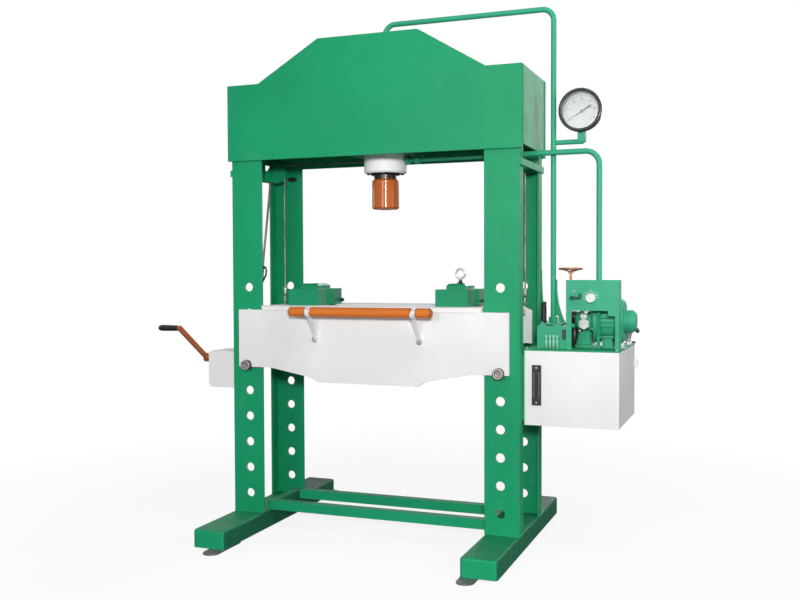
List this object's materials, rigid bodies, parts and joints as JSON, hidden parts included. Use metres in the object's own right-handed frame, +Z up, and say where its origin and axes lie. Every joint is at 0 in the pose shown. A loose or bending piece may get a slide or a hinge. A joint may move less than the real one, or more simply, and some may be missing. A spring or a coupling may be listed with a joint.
{
  "type": "hydraulic press",
  "caption": "Free-standing workshop press: angle-post portal, hydraulic ram, winch-lifted bed on pins, V-blocks and a side-mounted power pack with tank, pump, control panel and gauge.",
  "frame": {"origin": "middle of the bounding box's base, on the floor", "axes": "+X to the power pack on the right, +Y from the front to the back, +Z up"},
  "size_m": [2.1872, 1.3488, 2.4445],
  "materials": {
    "green_paint": "gloss paint",
    "pale_grey_paint": "satin paint",
    "orange_paint": "gloss paint",
    "dark_steel": "oiled black steel",
    "bright_steel": "polished",
    "rope_steel": "laid wire",
    "black_plastic": "satin",
    "white_plastic": "smooth",
    "clear_glass": "clear",
    "copper_wheel": "worn",
    "brushed_cup": "satin"
  },
  "bodies": {
    "frame": {"post_front_right": "green_paint", "post_front_left": "green_paint", "post_rear_right": "green_paint", "post_rear_left": "green_paint", "foot_right": "green_paint", "foot_left": "green_paint", "floor_plates": "dark_steel", "base_frame": "green_paint", "beam_front_plate": "green_paint", "beam_rear_plate": "green_paint", "beam_inner_plates": "green_paint", "sheave_brackets": "green_paint", "cylinder_barrel": "green_paint", "cylinder_gland": "pale_grey_paint", "hoist_rope": "rope_steel", "drop_ropes": "rope_steel", "winch_case": "pale_grey_paint", "tank": "pale_grey_paint", "tank_lid": "green_paint", "level_strip": "black_plastic", "breather": "brushed_cup", "control_panel": "green_paint", "control_valve": "green_paint", "manifold": "green_paint", "solenoid": "black_plastic", "tank_brackets": "green_paint", "motor_body": "green_paint", "motor_cowl": "green_paint", "bell_housing": "green_paint", "pump": "green_paint", "pump_caps": "white_plastic", "motor_mount": "green_paint", "feed_pipe": "green_paint", "return_pipe": "green_paint", "pipe_fittings": "green_paint", "gauge_case": "black_plastic", "gauge_dial": "white_plastic", "gauge_glass": "clear_glass"},
    "ram": {"ram_rod": "bright_steel", "ram_head": "orange_paint"},
    "bed": {"bed_front_plate": "pale_grey_paint", "bed_rear_plate": "pale_grey_paint", "bed_deck": "pale_grey_paint", "bar_hooks": "dark_steel"},
    "block_left": {"v_block_left": "green_paint"},
    "block_right": {"v_block_right": "green_paint", "lifting_eye": "bright_steel"},
    "bar": {"spare_bar": "orange_paint"},
    "pin_left": {"support_pin_left": "dark_steel"},
    "pin_right": {"support_pin_right": "dark_steel"},
    "left_sheave": {"sheave_left": "green_paint"},
    "right_sheave": {"sheave_right": "green_paint"},
    "drum": {"rope_drum": "dark_steel"},
    "hand_crank": {"crank": "orange_paint"},
    "grip": {"crank_grip": "black_plastic"},
    "knob": {"pressure_knob": "white_plastic"},
    "lever": {"valve_lever": "black_plastic"},
    "wheel": {"handwheel": "copper_wheel"},
    "rotor": {"motor_rotor": "dark_steel"},
    "needle": {"gauge_needle": "black_plastic"}
  },
  "joints": [
    {"name": "ram_travel", "type": "slide", "parent": "frame", "child": "ram", "axis": [0, 0, 1], "range_m": [-0.2, 0]},
    {"name": "bed_lift", "type": "slide", "parent": "frame", "child": "bed", "axis": [0, 0, 1], "range_m": [0, 0.25], "deforming": ["drop_ropes"]},
    {"name": "block_left_shift", "type": "slide", "parent": "bed", "child": "block_left", "axis": [1, 0, 0], "range_m": [-0.085, 0.2]},
    {"name": "block_right_shift", "type": "slide", "parent": "bed", "child": "block_right", "axis": [1, 0, 0], "range_m": [-0.2, 0.085]},
    {"name": "bar_lift", "type": "slide", "parent": "bed", "child": "bar", "axis": [0, 0, 1], "range_m": [0, 0.08]},
    {"name": "pin_left_pull", "type": "slide", "parent": "frame", "child": "pin_left", "axis": [0, -1, 0], "range_m": [0, 0.53]},
    {"name": "pin_right_pull", "type": "slide", "parent": "frame", "child": "pin_right", "axis": [0, -1, 0], "range_m": [0, 0.53]},
    {"name": "sheave_left_turn", "type": "hinge", "parent": "frame", "child": "left_sheave", "pos_m": [-0.73935, 0.1285, 1.761], "axis": [0, 1, 0], "range_deg": [-363, 0]},
    {"name": "sheave_right_turn", "type": "hinge", "parent": "frame", "child": "right_sheave", "pos_m": [0.53065, 0.1225, 1.761], "axis": [0, 1, 0], "range_deg": [-363, 0]},
    {"name": "drum_turn", "type": "hinge", "parent": "frame", "child": "drum", "pos_m": [-0.76935, -0.1035, 0.777], "axis": [1, 0, 0], "range_deg": [-602, 0]},
    {"name": "crank_turn", "type": "hinge", "parent": "frame", "child": "hand_crank", "pos_m": [-0.98235, -0.1715, 0.83], "axis": [1, 0, 0], "range_deg": [0, 2402]},
    {"name": "grip_spin", "type": "hinge", "parent": "hand_crank", "child": "grip", "pos_m": [-1.03485, -0.40695, 0.98881], "axis": [1, 0, 0], "continuous": true},
    {"name": "knob_turn", "type": "hinge", "parent": "frame", "child": "knob", "pos_m": [0.92065, -0.1215, 1.138], "axis": [0, 1, 0], "range_deg": [-135, 135]},
    {"name": "lever_turn", "type": "hinge", "parent": "frame", "child": "lever", "pos_m": [0.83965, -0.1215, 1.138], "axis": [0, 1, 0], "range_deg": [-25, 25]},
    {"name": "wheel_turn", "type": "hinge", "parent": "frame", "child": "wheel", "pos_m": [0.82715, -0.0915, 1.265], "axis": [0, 0, 1], "range_deg": [-540, 540]},
    {"name": "motor_spin", "type": "hinge", "parent": "frame", "child": "rotor", "pos_m": [0.97165, 0.0485, 1.03], "axis": [1, 0, 0], "continuous": true},
    {"name": "needle_turn", "type": "hinge", "parent": "frame", "child": "needle", "pos_m": [0.85665, -0.042, 1.967], "axis": [0, 1, 0], "range_deg": [0, 240]}
  ],
  "couplings": [
    {"joint": "sheave_left_turn", "follows": "bed_lift", "rad_per_m": -25},
    {"joint": "sheave_right_turn", "follows": "bed_lift", "rad_per_m": -25},
    {"joint": "drum_turn", "follows": "bed_lift", "rad_per_m": -41.667},
    {"joint": "crank_turn", "follows": "bed_lift", "rad_per_m": 166.67}
  ]
}
